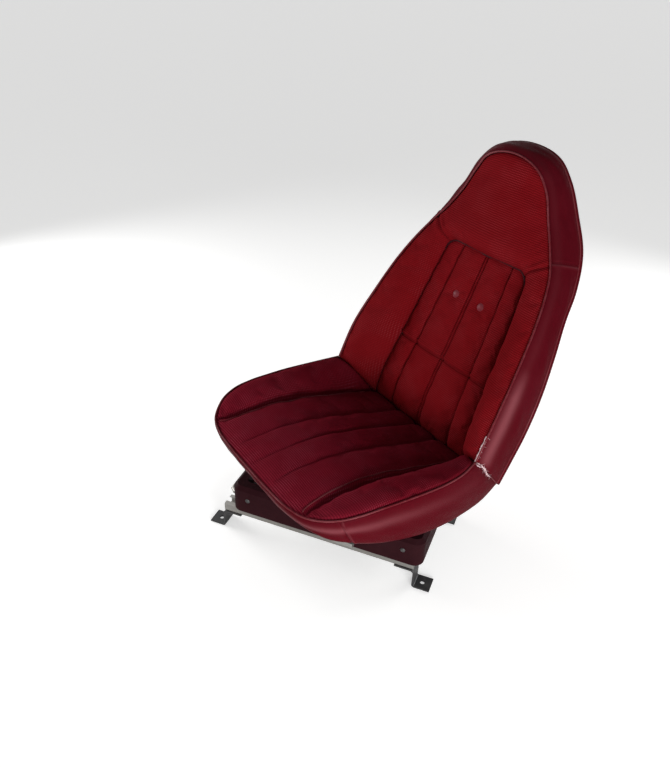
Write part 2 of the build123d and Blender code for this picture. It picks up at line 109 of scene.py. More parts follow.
bolster_seam_stations = [
    (0.172, 0.166, 0.248), (0.173, 0.11, 0.26), (0.174, 0.054, 0.276), (0.173, 0, 0.29),
    (0.172, -0.05, 0.303), (0.171, -0.085, 0.311), (0.171, -0.12, 0.3165), (0.171, -0.16, 0.3195),
    (0.172, -0.2, 0.319), (0.175, -0.232, 0.3165), (0.18, -0.256, 0.314), (0.19, -0.274, 0.3115),
]

# Upholstery
cloth_thickness = 0.005
vinyl_thickness = 0.003
lining_thickness = 0.002
welt_radius = 0.0020
dip_depth = 0.0036          # how far cloth and vinyl dip beside a welt
dip_width = 0.0055
unevenness = 0.0012         # how far padded cloth strays from its even form
tuck_reach = 0.035          # how far from the bight cloth is drawn down into it
roll_widths = (0.085, 0.050)        # of the roll round the panel: on the bolsters and on the head
roll_powers = (2.2, 2.8)
head_overhang = 0.010       # how far the head hangs over the panel's top
overhang_reach = 0.016
rear_bulge = 0.022          # of the moulded rear panel at its middle
rim_radius = 0.0042

# How far the back's padding stands out of the line between its welts, at heights up the back
padding_crown = ((-0.04, 0.10, 0.30, 0.42, 0.50, 0.56, 0.600),
                 (0.004, 0.012, 0.018, 0.022, 0.018, 0.011, 0.0))

# The cushion's cloth. Seams between its pleats lie at shares of the middle's half width.
cushion_length = 0.45
pleat_seams = (-0.41, 0.0, 0.41)
pleat_height = 0.008
crease_depth = 0.0110       # of the crease between the cushion's bolsters and its middle
crease_width = 0.0100       # on the bolster's side
inner_crease_width = 0.0040     # on the middle's side, which is steeper
side_columns = 34           # of the grid on each bolster

# The boxing bands. A cross seam lies at a length from the junction. A highlight is painted on
# the vinyl along a strip: lengths from the junction, and how strong it is there.
band_count = 240            # rungs from the junction to the middle
band_bulge = 0.009
seam_ridge = 0.0014
seam_groove = 0.0026
back_cross_seam = 0.470
cushion_cross_seam = 0.372
hem_lead = 0.035            # how far the hem's points lie ahead of the welt's, as a share of its length
back_sheen = ((0, 0.02, 0.17, 0.24, 0.9), (0.15, 0.9, 1.0, 0.10, 0.04))
cushion_sheen = ((0, 0.03, 0.10, 0.20, 0.40, 0.6), (0.0, 0.08, 0.12, 0.30, 0.80, 0.4))

# Cloth simulation of the padded panels
sim_frames = 20
cloth_settings = {
    "quality": 6, "mass": 0.25, "tension_stiffness": 25, "compression_stiffness": 25, "shear_stiffness": 12,
    "bending_stiffness": 2.0, "shrink_min": -0.01, "use_pressure": True, "uniform_pressure_force": 4.0,
    "vertex_group_mass": "held",
}
back_cap = 0.0060           # how far a point of the back's cloth may move
cushion_cap = 0.0034
shortest_thread = 0.0008    # faces with a shorter side are left out of the sheet


# Numbers and curves

def unit(vectors):
    """Vectors scaled to length one."""
    return vectors / np.maximum(np.linalg.norm(vectors, axis=-1, keepdims=True), 1e-12)


def fall(distance, reach):
    """One at no distance and nought at the reach: one minus their ratio, held at nought, squared."""
    return np.clip(1 - distance / reach, 0, 1) ** 2


def ridge(distance, width):
    """Bell curve across a seam: e to the minus square of distance over width."""
    return np.exp(-(distance / width) ** 2)


def arch(way):
    """Nought at both ends of a way and one half way: four times way along it times way left."""
    return 4 * way * (1 - way)


def highest(*values):
    """Highest of several values at each point."""
    return np.max(np.broadcast_arrays(*values), axis=0)


def lengths_along(points):
    """Running length of a polyline, nought at its first point."""
    return np.concatenate([[0], np.cumsum(np.linalg.norm(np.diff(points, axis=0), axis=1))])


def at_shares(points, shares):
    """Points at shares of a polyline's whole length."""
    run = lengths_along(points)
    return np.stack([np.interp(shares * run[-1], run, column) for column in np.asarray(points).T], -1)


def even(points, count):
    """Points respaced evenly along their polyline."""
    return at_shares(points, np.linspace(0, 1, count))


def through(stations, count):
    """Smooth curve through stations, evenly spaced. Each span is a cubic Hermite curve over the
    chord length, and its end tangents are the central differences of the stations."""
    stations = np.asarray(stations, float)
    chord = lengths_along(stations)
    slope = np.gradient(stations, chord, axis=0)
    at = np.linspace(0, chord[-1], 60 * len(stations))
    span = np.clip(np.searchsorted(chord, at, side="right") - 1, 0, len(stations) - 2)
    reach = (chord[span + 1] - chord[span])[:, None]
    u = (at - chord[span])[:, None] / reach
    curve = ((1 + 2 * u) * (1 - u) ** 2 * stations[span] + u * (1 - u) ** 2 * reach * slope[span]
             + u * u * (3 - 2 * u) * stations[span + 1] + u * u * (u - 1) * reach * slope[span + 1])
    return even(curve, count)


def both_sides(half, flip=(-1, 1, 1)):
    """A half curve or grid that ends at the middle, carried on down the sitter's right side in
    mirror order, where its values are times the flip."""
    return np.concatenate([half, half[-2::-1] * flip])


def through_half(stations, count):
    """Half of the smooth curve through stations and their mirror images, which is level across
    the middle."""
    return through(both_sides(np.asarray(stations)), 2 * count - 1)[:count]


def ripple(u, v, size, seed):
    """Soft unevenness between about -1 and 1: a third of the sum of nine plane sine waves, whose
    directions and phases come from the seed and whose wavelengths lie about the size."""
    total = np.zeros(np.broadcast(u, v).shape)
    for angle, phase, stretch in np.random.default_rng(seed).random((9, 3)):
        heading = 2 * math.pi * angle
        wave = 2 * math.pi / (size * (0.6 + stretch))
        total += np.sin(wave * (u * math.cos(heading) + v * math.sin(heading)) + 7 * phase)
    return total / 3


def spread(values, places, count):
    """Values given at some rows of a grid, carried to all of its rows in straight lines."""
    row = np.arange(count)
    after = np.clip(np.searchsorted(places, row, side="right"), 1, len(places) - 1)
    share = (row - places[after - 1]) / (places[after] - places[after - 1])
    share = share[:, None, None]
    return values[after - 1] * (1 - share) + values[after] * share


# Places

def to_row(points):
    """Points of the seat's own frame (x, y, z) turned and moved into the row frame."""
    x, y, z = np.moveaxis(np.asarray(points, float), -1, 0)
    return np.stack([axis_x + x * math.cos(rest_turn) - y * math.sin(rest_turn),
                     axis_y + x * math.sin(rest_turn) + y * math.cos(rest_turn), z], -1)


def directions(vectors):
    """Directions of the seat's own frame turned into the row frame."""
    return to_row(vectors) - to_row(np.zeros(3))


def on_back(x, along, depth):
    """Points of the seat's own frame from a place sideways, up the back and into it."""
    x, along, depth = np.broadcast_arrays(x, along, depth)
    return np.stack([x, junction_y + along * math.sin(back_tilt) + depth * math.cos(back_tilt),
                     junction_z + along * math.cos(back_tilt) - depth * math.sin(back_tilt)], -1)


up = np.array([0.0, 0.0, 1.0])
out_of_back = on_back(0.0, 0.0, -1.0) - on_back(0.0, 0.0, 0.0)
back_middle = on_back(0.0, 0.28, 0.06)
cushion_middle = np.array([0.0, -0.06, 0.26])


# Meshes

def finished(mesh, name, body, finish):
    """Object of a mesh whose doubles are merged, smooth shaded, riding on a body."""
    shell = bmesh.new()
    shell.from_mesh(mesh)
    bmesh.ops.remove_doubles(shell, verts=shell.verts, dist=2e-6)
    bmesh.ops.dissolve_degenerate(shell, edges=shell.edges, dist=1e-7)
    shell.to_mesh(mesh)
    shell.free()
    mesh.shade_smooth()
    mesh.materials.append(finish)
    made = bpy.data.objects.new(name, mesh)
    bpy.context.scene.collection.objects.link(made)
    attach(made, body)
    return made


def grid_faces(rows, columns, closed=False):
    """Corner numbers of the quads of a grid, its last column joined to its first if closed."""
    index = np.arange(rows * columns).reshape(rows, columns)
    if closed:
        index = np.concatenate([index, index[:, :1]], axis=1)
    return np.stack([index[:-1, :-1], index[1:, :-1], index[1:, 1:], index[:-1, 1:]], -1).reshape(-1, 4)


def turned_out(faces, points, outward):
    """Quads over points, turned as one so that the sum of their normals, each times the outward
    direction at its first corner, is positive."""
    corners = points[faces]
    normals = np.cross(corners[:, 2] - corners[:, 0], corners[:, 3] - corners[:, 1])
    return faces[:, ::-1] if (normals * outward[faces[:, 0]]).sum() < 0 else faces


def surface(name, grid, outward, finish, uv=None, body="seat", wall=0.0, closed=False, mark=None):
    """Quad mesh over a grid of points that faces outward, both in the seat's own frame if it rides
    on the seat. A wall thickens it inwards. A mark is a number at each point that its material
    reads: painted shade in the seams of cloth, a painted highlight on vinyl."""
    if body == "seat":
        grid, outward = to_row(grid), directions(outward)
    points = grid.reshape(-1, 3)
    outward = np.broadcast_to(outward, grid.shape).reshape(-1, 3)
    faces = turned_out(grid_faces(*grid.shape[:2], closed), points, outward)
    mesh = bpy.data.meshes.new(name)
    mesh.from_pydata(points, [], faces)
    if uv is not None:
        layer = mesh.uv_layers.new(name="weave")
        layer.uv.foreach_set("vector", uv.reshape(-1, 2)[faces.ravel()].astype(np.float32).ravel())
    if mark is not None:
        attribute = mesh.attributes.new("mark", "FLOAT", "POINT")
        attribute.data.foreach_set("value", mark.ravel().astype(np.float32))
    made = finished(mesh, name, body, finish)
    if wall:
        solid = made.modifiers.new("wall", "SOLIDIFY")
        solid.thickness = wall
        solid.offset = -1
        solid.use_even_offset = False
    return made


def rings(first, second, sides):
    """Unit circles spanned by pairs of directions, as an array (place, side, coordinate)."""
    angle = np.linspace(0, 2 * math.pi, sides, endpoint=False)[:, None]
    return np.cos(angle) * first[..., None, :] + np.sin(angle) * second[..., None, :]


def tube(name, path, radius, facing, finish, sides=12):
    """Round cord along a path: circles across the path, set out from the side direction (path
    direction crossed with facing), drawn in to a point at its two ends as on a ball."""
    run = lengths_along(path)
    nearest = np.minimum(run, run[-1] - run)
    radius = np.broadcast_to(radius, len(path))
    radius = radius * np.sqrt(1 - np.clip(1 - nearest / radius, 0, 1) ** 2)
    ahead = unit(np.gradient(path, axis=0))
    aside = unit(np.cross(ahead, facing))
    ring = rings(aside, np.cross(aside, ahead), sides)
    return surface(name, path[:, None] + radius[:, None, None] * ring, ring, finish, closed=True)


def short_cords(name, paths, radius, finish, sides=4):
    """Many thin cords as one mesh, from an array of paths (cord, step, place). Each is a ring of a
    few sides carried along its path, as thick as the radius times the square root of the sine of
    the way along it, so that it closes to a point at both ends."""
    count, steps = paths.shape[:2]
    ahead = unit(np.gradient(paths, axis=1))
    aside = unit(np.cross(ahead, np.array([0.31, 0.87, 0.38])))
    ring = rings(aside, np.cross(aside, ahead), sides)
    thick = np.sqrt(np.abs(np.sin(np.linspace(0, math.pi, steps)))) * (np.arange(steps) % (steps - 1) > 0)
    points = paths[:, :, None] + radius * thick[None, :, None, None] * ring
    faces = grid_faces(steps, sides, closed=True)[None] + steps * sides * np.arange(count)[:, None, None]
    mesh = bpy.data.meshes.new(name)
    mesh.from_pydata(points.reshape(-1, 3), [], faces.reshape(-1, 4))
    return finished(mesh, name, "seat", finish)


def turned(name, profile, places, axis, finish, body, sides=32):
    """Turned pieces: a profile of (radius, height) points carried round a level or sloping axis at
    each place."""
    profile = np.asarray(profile)
    side = unit(np.cross(axis, up))
    spoke = rings(side, np.cross(axis, side), sides)
    lathe = profile[:, :1, None] * spoke + profile[:, 1:, None] * axis
    return joined(name, [surface(name, place + lathe, spoke, finish, body=body, closed=True)
                         for place in places])


def joined(name, pieces):
    """One object from several, under the name given."""
    if len(pieces) > 1:
        with bpy.context.temp_override(active_object=pieces[0], selected_editable_objects=pieces):
            bpy.ops.object.join()
    pieces[0].name = name
    return pieces[0]


# Shader helpers

def node(tree, kind, inputs=None, **settings):
    """New node with its settings. An input given as a socket is linked, a tuple is a colour, and
    any other is its value."""
    made = tree.nodes.new(kind)
    for key, value in settings.items():
        setattr(made, key, value)
    for key, value in (inputs or {}).items():
        if isinstance(value, bpy.types.NodeSocket):
            tree.links.new(value, made.inputs[key])
        else:
            made.inputs[key].default_value = (*value, 1) if isinstance(value, tuple) else value
    return made


def calc(tree, operation, first, second=0.0, third=0.0):
    """Output of a Math node."""
    return node(tree, "ShaderNodeMath", {0: first, 1: second, 2: third}, operation=operation).outputs[0]


def tint(tree, share, first, second, blend_type="MIX"):
    """Colour output of a Mix node: the first colour at share 0, the second at share 1."""
    made = node(tree, "ShaderNodeMix", {0: share, 6: first, 7: second}, data_type="RGBA",
                blend_type=blend_type)
    return made.outputs[2]


def noise(tree, vector, scale, detail=3.0, roughness=0.55):
    """Value of a noise texture, about 0.5 on average."""
    return node(tree, "ShaderNodeTexNoise", {"Vector": vector, "Scale": scale, "Detail": detail,
                                             "Roughness": roughness}).outputs[0]


def ramp(tree, value, low, high):
    """Value brought from the range low to high into 0 to 1, with smooth ends."""
    return node(tree, "ShaderNodeMapRange", {0: value, 1: low, 2: high, 3: 0.0, 4: 1.0},
                interpolation_type="SMOOTHSTEP").outputs[0]


def weave_place(tree):
    """Place in the cloth's own map: across the seat, and up the back or rearwards."""
    return node(tree, "ShaderNodeUVMap", uv_map="weave").outputs[0]


def mark_value(tree):
    """The mark at a point: painted shade in the seams of cloth, a painted highlight on vinyl."""
    return node(tree, "ShaderNodeAttribute", attribute_name="mark").outputs["Fac"]


def group(name, takes, gives):
    """Empty shader node group with named inputs and outputs, which are colours where their names
    say so and else numbers; returns it with the sockets of its two end nodes."""
    colour_sockets = {"Crest", "Valley", "Dot", "Colour", "Faded"}
    tree = bpy.data.node_groups.new(name, "ShaderNodeTree")
    for in_out, labels in (("INPUT", takes), ("OUTPUT", gives)):
        for label in labels:
            kind = "NodeSocketColor" if label in colour_sockets else "NodeSocketFloat"
            tree.interface.new_socket(label, in_out=in_out, socket_type=kind)
    return tree, tree.nodes.new("NodeGroupInput").outputs, tree.nodes.new("NodeGroupOutput").inputs


def placed(tree, shared, inputs):
    """Outputs of a shared group placed in a material with its own values."""
    return node(tree, "ShaderNodeGroup", inputs, node_tree=shared).outputs


def ribbed_cloth_group():
    """Ribbed cloth: ribs across the seat, one every pitch, crossed by rows of stitches that leave a
    pale dot on each rib, with shade painted in where the mark tells of a seam's groove."""
    tree, takes, gives = group("ribbed_cloth", ["Crest", "Valley", "Dot", "Pitch"], ["Colour", "Height"])
    place = weave_place(tree)
    split = node(tree, "ShaderNodeSeparateXYZ", {0: place}).outputs
    wander = calc(tree, "MULTIPLY", noise(tree, place, 26.0), 0.5)

    def wave(coordinate, pitch):
        """Half plus half the sine of a coordinate's pitches, which wander a little."""
        turns = calc(tree, "ADD", calc(tree, "DIVIDE", coordinate, pitch), wander)
        swing = calc(tree, "SINE", calc(tree, "MULTIPLY", turns, 2 * math.pi))
        return calc(tree, "MULTIPLY_ADD", swing, 0.5, 0.5)

    rib = wave(split[1], takes["Pitch"])
    row = wave(split[0], calc(tree, "MULTIPLY", takes["Pitch"], 0.9))
    yarn = noise(tree, place, 900.0, 2.0)
    shade = calc(tree, "MULTIPLY_ADD", rib, 0.42, calc(tree, "MULTIPLY", yarn, 0.6))
    ground = tint(tree, ramp(tree, shade, 0.1, 0.75), takes["Valley"], takes["Crest"])
    worn = ramp(tree, noise(tree, place, 14.0, 3.0), 0.42, 0.65)
    dot = calc(tree, "MULTIPLY", ramp(tree, calc(tree, "MULTIPLY", rib, row), 0.45, 0.95),
               calc(tree, "MULTIPLY_ADD", worn, 0.65, 0.12))
    dotted = tint(tree, dot, ground, takes["Dot"])
    # Painted shade: the colour is multiplied towards a dark grey in the seam grooves that the mark gives
    sunk = tint(tree, calc(tree, "MULTIPLY", mark_value(tree), 0.85), dotted, (0.22, 0.22, 0.24), "MULTIPLY")
    height = calc(tree, "MULTIPLY_ADD", yarn, 0.35, calc(tree, "MULTIPLY", rib, 0.6))
    tree.links.new(sunk, gives["Colour"])
    tree.links.new(calc(tree, "MULTIPLY_ADD", row, 0.25, height), gives["Height"])
    return tree


def grain_group():
    """Vinyl and moulded grain: shallow cells with finer pores between them."""
    tree, takes, gives = group("grain", ["Size"], ["Height", "Mask"])
    place = node(tree, "ShaderNodeTexCoord").outputs["Object"]
    scale = calc(tree, "DIVIDE", 1.0, takes["Size"])
    cells = node(tree, "ShaderNodeTexVoronoi", {"Vector": place, "Scale": scale},
                 feature="DISTANCE_TO_EDGE").outputs[0]
    pores = noise(tree, place, calc(tree, "MULTIPLY", scale, 2.3))
    height = calc(tree, "MULTIPLY_ADD", pores, 0.4, ramp(tree, cells, 0.0, 0.18))
    tree.links.new(height, gives["Height"])
    tree.links.new(pores, gives["Mask"])
    return tree


def ageing_group():
    """Age: broad fading, and dust or scuffs in patches."""
    tree, takes, gives = group("ageing", ["Colour", "Faded", "Amount", "Roughness"], ["Colour", "Roughness"])
    place = node(tree, "ShaderNodeTexCoord").outputs["Object"]
    broad = ramp(tree, noise(tree, place, 7.0, 4.0), 0.35, 0.7)
    patches = ramp(tree, noise(tree, place, 60.0, 5.0, 0.65), 0.45, 0.75)
    share = calc(tree, "MULTIPLY", calc(tree, "MULTIPLY_ADD", patches, 0.5, broad), takes["Amount"])
    rough = calc(tree, "MULTIPLY_ADD", calc(tree, "SUBTRACT", patches, 0.4), 0.2, takes["Roughness"])
    tree.links.new(tint(tree, share, takes["Colour"], takes["Faded"]), gives["Colour"])
    tree.links.new(rough, gives["Roughness"])
    return tree


ribbed_cloth = ribbed_cloth_group()
grain = grain_group()
ageing = ageing_group()
rib_pitch = 0.0043


def shaded(name):
    """New material with its tree and its Principled shader."""
    made = bpy.data.materials.new(name)
    made.use_nodes = True
    return made, made.node_tree, made.node_tree.nodes["Principled BSDF"]


def fed(tree, shader, colour, roughness, specular, height, strength, distance):
    """Feeds a shader with colour, roughness and specular level, and a height into its normal."""
    bump = node(tree, "ShaderNodeBump", {"Height": height, "Strength": strength, "Distance": distance})
    tree.links.new(colour, shader.inputs["Base Color"])
    tree.links.new(roughness, shader.inputs["Roughness"])
    tree.links.new(bump.outputs[0], shader.inputs["Normal"])
    shader.inputs["Specular IOR Level"].default_value = specular


def cloth_finish(name, crest, valley, dot, faded, front=None):
    """Ribbed knit cloth, a little faded in patches. Where a colour for the front is given, light is
    painted in: brighter towards its front, and painted shade darker towards its rear."""
    made, tree, shader = shaded(name)
    knit = placed(tree, ribbed_cloth, {"Crest": crest, "Valley": valley, "Dot": dot, "Pitch": rib_pitch})
    aged = placed(tree, ageing, {"Colour": knit["Colour"], "Faded": faded, "Amount": 0.18, "Roughness": 0.85})
    shown = aged["Colour"]
    if front:
        # Painted light towards the front and painted shade towards the rear of the cushion
        rearwards = node(tree, "ShaderNodeSeparateXYZ", {0: weave_place(tree)}).outputs[1]
        shown = tint(tree, ramp(tree, rearwards, -0.14, -0.36), shown, front, "MULTIPLY")
        shown = tint(tree, ramp(tree, rearwards, -0.20, 0.05), shown, (0.72, 0.70, 0.70), "MULTIPLY")
    fed(tree, shader, shown, aged["Roughness"], 0.01, knit["Height"], 0.6, 0.0012)
    return made


def grained_finish(name, colour, faded, amount, roughness, size, depth, specular=0.5, metallic=0.0,
                   painted_sheen=None):
    """Grained vinyl, moulded plastic or enamel: one colour that fades and dulls in patches by an
    amount, with grain of a size and depth, and turns to a paler colour, a painted highlight,
    where the mark says."""
    made, tree, shader = shaded(name)
    skin = placed(tree, grain, {"Size": size})
    aged = placed(tree, ageing, {"Colour": colour, "Faded": faded, "Amount": amount, "Roughness": roughness})
    shown = aged["Colour"]
    # Painted highlight: a paler colour where the mark says, broken up by the grain's pores
    if painted_sheen:
        patchy = calc(tree, "MULTIPLY_ADD", skin["Mask"], 0.8, 0.5)
        shown = tint(tree, calc(tree, "MULTIPLY", mark_value(tree), patchy), shown, painted_sheen)
    shader.inputs["Metallic"].default_value = metallic
    fed(tree, shader, shown, aged["Roughness"], specular, skin["Height"], 0.5, depth)
    return made


cloth = cloth_finish(
    "ribbed_cloth_red", crest=(0.175, 0.0045, 0.0070), valley=(0.080, 0.0018, 0.003),
    dot=(0.27, 0.036, 0.044), faded=(0.17, 0.010, 0.014))
# The cushion's cloth is the back's cloth painted darker and more purple: painted shade, with painted light
# towards its front
shaded_cushion_cloth = cloth_finish(
    "ribbed_cloth_cushion_shaded", crest=(0.165, 0.0055, 0.0140), valley=(0.075, 0.0022, 0.0065),
    dot=(0.28, 0.050, 0.075), faded=(0.17, 0.014, 0.026), front=(1.28, 1.5, 1.5))

# Name, colour, faded colour, how much it is faded, roughness, and size and depth of the grain
seam_shadow = grained_finish("dark_lining_and_seam_shadow", (0.030, 0.003, 0.006), (0.07, 0.015, 0.02),
                             0.4, 0.8, 0.001, 0.0001, specular=0.1)
# The vinyl's paler colour where the mark says is a painted highlight
vinyl = grained_finish("grained_vinyl_red", (0.072, 0.0028, 0.0064), (0.090, 0.007, 0.013),
                       0.30, 0.36, 0.0018, 0.00015, specular=0.009, painted_sheen=(0.19, 0.048, 0.058))
piping = grained_finish("piping_vinyl", (0.12, 0.012, 0.017), (0.22, 0.070, 0.078),
                        0.5, 0.35, 0.0014, 0.0001, specular=0.03)
dark_piping = grained_finish("piping_vinyl_dark", (0.030, 0.002, 0.004), (0.06, 0.012, 0.015),
                             0.3, 0.4, 0.0014, 0.0001, specular=0.03)
button_cloth = grained_finish("button_vinyl", (0.145, 0.018, 0.025), (0.20, 0.04, 0.05),
                              0.4, 0.42, 0.001, 0.0001, specular=0.1)
backing_thread = grained_finish("frayed_backing", (0.62, 0.42, 0.44), (0.8, 0.65, 0.65),
                                0.5, 0.9, 0.0008, 0.0002, specular=0.1)
# Dusty cover plastic whose dark base colour is painted shade, as under the seat
shaded_cover_plastic = grained_finish("dusty_shaded_cover_plastic", (0.019, 0.0045, 0.0065),
                               (0.034, 0.010, 0.012), 0.45, 0.5, 0.0016, 0.00015, specular=0.02)
enamel = grained_finish("black_enamel", (0.022, 0.022, 0.024), (0.09, 0.08, 0.07),
                        0.35, 0.45, 0.003, 0.0001)
zinc = grained_finish("dull_zinc", (0.45, 0.44, 0.42), (0.25, 0.22, 0.19),
                      0.5, 0.42, 0.004, 0.00005, metallic=0.9)


# Upholstery of the back

def panel_half(along):
    """Half width of the pleated panel: it tapers in a straight line from its foot to its top."""
    return np.interp(along, (panel_foot, panel_top), (panel_foot_half, panel_top_half))


def panel_bed(along):
    """Depth of the panel's seams: level, then deeper towards the bight by a square."""
    sunk = np.clip((panel_sink_from - along) / (panel_sink_from - panel_low), 0, 1)
    return panel_depth + panel_sink * sunk ** 2


corner_low = panel_top - panel_corner       # height at which the panel's side turns into its corner
corner_x = panel_half(corner_low) - panel_corner
corner_angle = np.linspace(0, math.pi / 2, 41)
corner_line = np.stack([corner_x + panel_corner * np.cos(corner_angle),
                        corner_low + panel_corner * np.sin(corner_angle)], -1)
back_outline = through_half(back_welt_stations, 600)


def matched_edges(low_count, high_count):
    """Left half of the horseshoe of cloth round the panel, as points of its inner edge and of the
    welt matched by length: side and half the corner, then the rest of the corner and the top."""
    side = np.array([(panel_half(panel_low), panel_low), (panel_half(corner_low), corner_low)])
    halfway = len(corner_line) // 2
    split = np.searchsorted(back_outline[:, 1], head_seam_at)
    low_edge = even(np.concatenate([side, corner_line[1:halfway + 1]]), low_count)
    high_edge = even(np.concatenate([corner_line[halfway - 1:], [(0, panel_top)]]), high_count)
    low_welt = even(back_outline[:split + 1], low_count)
    high_welt = even(back_outline[split:], high_count)
    return np.concatenate([low_edge, high_edge[1:]]), np.concatenate([low_welt, high_welt[1:]])


def horseshoe(low_count=150, high_count=92, across=44):
    """Cloth of the side bolsters and the head. Straight rungs join the panel's edge to the welt.
    Depth is that of the padded form (the welt's depth less a crown that is highest at the middle)
    plus a roll down to the panel's edge, one minus distance over roll width, to a power. It dips
    beside the welt and at the seam to the head, and is drawn into the crease above the cushion."""
    edge, welt = matched_edges(low_count, high_count)
    share = np.linspace(0, 1, across)
    flat = edge[:, None] + share[:, None] * (welt[:, None, :2] - edge[:, None])
    x, height = flat[..., 0], flat[..., 1]
    span = np.linalg.norm(welt[:, :2] - edge, axis=1)[:, None]
    distance = share * span
    welt_gap = span - distance
    order = np.arange(len(edge))[:, None]
    head_gap = (order - low_count + 1) * np.linalg.norm(np.gradient(flat, axis=0), axis=2)

    # The head's share is nought on the bolsters and one on the head, with smooth ends
    head = np.clip((order - 0.72 * low_count) / (0.4 * low_count), 0, 1)
    head = head * head * (3 - 2 * head)
    roll_width = np.minimum(roll_widths[0] + (roll_widths[1] - roll_widths[0]) * head, span)
    roll_power = roll_powers[0] + (roll_powers[1] - roll_powers[0]) * head
    welt_x = np.interp(height, back_outline[:, 1], back_outline[:, 0])
    welt_depth = np.interp(height, back_outline[:, 1], back_outline[:, 2])
    crown = np.interp(height, *padding_crown)
    form = welt_depth - crown * np.clip(1 - (x / np.maximum(welt_x, 1e-3)) ** 2, 0, 1)
    depth = form + (panel_bed(height) - form) * np.clip(1 - distance / roll_width, 0, 1) ** roll_power
    depth += dip_depth * ridge(welt_gap, dip_width)
    depth += 0.0030 * ridge(head_gap, 0.0035) - 0.0012 * ridge(np.abs(head_gap) - 0.008, 0.006)
    depth += unevenness * ripple(x, height, 0.09, 3) * np.sin(math.pi * share)
    drawn = fall(height - panel_low * (1 - share), tuck_reach)
    depth = depth * (1 - drawn) + panel_bed(panel_low) * (1 - share) * drawn
    near = distance / overhang_reach
    overhang = head_overhang * head * near * np.exp(1 - near) * np.clip(1.2 - x / 0.12, 0, 1)
    grid = on_back(x, height - overhang, depth)
    sewn = highest(ridge(distance, 0.014), ridge(welt_gap, 0.005), ridge(head_gap, 0.004), drawn ** 0.25)
    # Painted shade: the mark darkens the cloth along the panel's edge, beside the welt and at the seam to the
    # head
    seam = 0.45 * highest(ridge(np.minimum(distance, welt_gap), 0.0030), ridge(head_gap, 0.0026))
    return both_sides(grid), both_sides(flat, (-1, 1)), both_sides(sewn, 1), both_sides(seam, 1)


def pleat(share):
    """Soft flat-topped pleat between two seams: one minus the fourth power of the distance from
    its middle line, that distance being one at the seams."""
    return 1 - np.abs(2 * share - 1) ** 4


def back_panel_grid(rows=190, columns=150):
    """Pleated panel of the back. Rows run across between its slanted sides and end above on its
    rounded outline. Each pleat stands out between its seams, lower and upper parts are sewn
    together at the cross seam, and the two buttons draw it in with a bell-shaped dimple."""
    q = np.linspace(-1, 1, columns)[None, :]
    t = np.linspace(0, 1, rows)[:, None]
    beyond = np.clip(np.abs(q) * panel_top_half - corner_x, 0, panel_corner * 0.999)
    top = corner_low + np.sqrt(panel_corner ** 2 - beyond ** 2)
    along = panel_low + t * (top - panel_low)
    half = panel_half(along)
    x = q * half
    narrow = middle_pleat / half
    lines = np.stack(np.broadcast_arrays(-1.0, -panel_seams, -narrow, narrow, panel_seams, 1.0), -1)
    rise = np.zeros(x.shape)
    for number, height in enumerate(panel_pleats):
        low, high = lines[..., number], lines[..., number + 1]
        rise += height * pleat(np.clip((q - low) / (high - low), 0, 1)) * ((q >= low) & (q < high))
    gap = (np.abs(q[..., None] - lines[..., 1:-1]) * half[..., None]).min(axis=-1)
    edge_gap = np.minimum(np.minimum((1 - np.abs(q)) * half, top - along), along - panel_low)
    cross_gap = along - cross_seam_at + 0.002
    rise -= pleat_groove * ridge(gap, pleat_groove_width)
    rise -= cross_groove * ridge(cross_gap, cross_groove_width)
    rise += 0.0022 * ridge(cross_gap - 0.007, 0.005)
    sewn = highest(ridge(np.minimum(gap, edge_gap), 0.004), ridge(cross_gap, 0.005))
    for side in (-1, 1):
        aside, above = x - side * button_half_gap, along - button_along
        away = np.hypot(aside, above)
        gathers = np.cos(7 * np.arctan2(above, aside) + 2 * side) * ridge(away - 0.022, 0.012)
        rise += 0.0008 * gathers - dimple_depth * ridge(away, dimple_width)
        sewn = highest(sewn, ridge(away, 0.016))
    rise += 0.5 * unevenness * ripple(x, along, 0.05, 11)
    rise -= 0.006 * fall(along - panel_low, 0.02) + 0.003 * fall(top - along, 0.012)
    # Painted shade: the mark darkens the pleat seams, the panel's edge and the cross seam
    seam = highest(0.34 * ridge(np.minimum(gap, edge_gap), 0.0020), 0.5 * ridge(cross_gap, 0.0022))
    return on_back(x, along, panel_bed(along) - rise), np.stack([x, along], -1), sewn, seam


# Upholstery of the cushion

def bolster_grid(seam, welt, crease, ends):
    """Left bolster of the cushion from its seam to the welt. It rises as one minus a power of the
    way left, with a crest between, and is drawn down to a straight rung at the bight."""
    way = np.linspace(0, 1, side_columns)[None, :]
    rung = (welt - seam)[:, None]
    grid = seam[:, None] + way[..., None] * rung
    span = np.linalg.norm(rung, axis=2)
    seam_gap, welt_gap = way * span, (1 - way) * span
    height = seam[:, None, 2] + rung[..., 2] * (1 - (1 - way) ** 2.2)
    height += 0.100 * span * arch(way) ** 0.85
    drawn = fall(lengths_along(seam)[:, None], tuck_reach)
    height = height * (1 - drawn) + drawn * grid[..., 2]
    height -= crease * ridge(seam_gap, crease_width) + dip_depth * ridge(welt_gap, dip_width)
    height += unevenness * ripple(grid[..., 0], grid[..., 1], 0.08, 5) * np.sin(math.pi * way)
    grid[..., 2] = height
    sewn = highest(ridge(np.minimum(seam_gap, welt_gap), 0.005), ends, np.clip(1.6 - span / 0.020, 0, 1))
    # The third value is painted shade: the mark darkens the crease and the cloth beside the welt
    return grid, sewn, highest(0.6 * ridge(seam_gap, 0.0065), 0.35 * ridge(welt_gap, 0.0030))


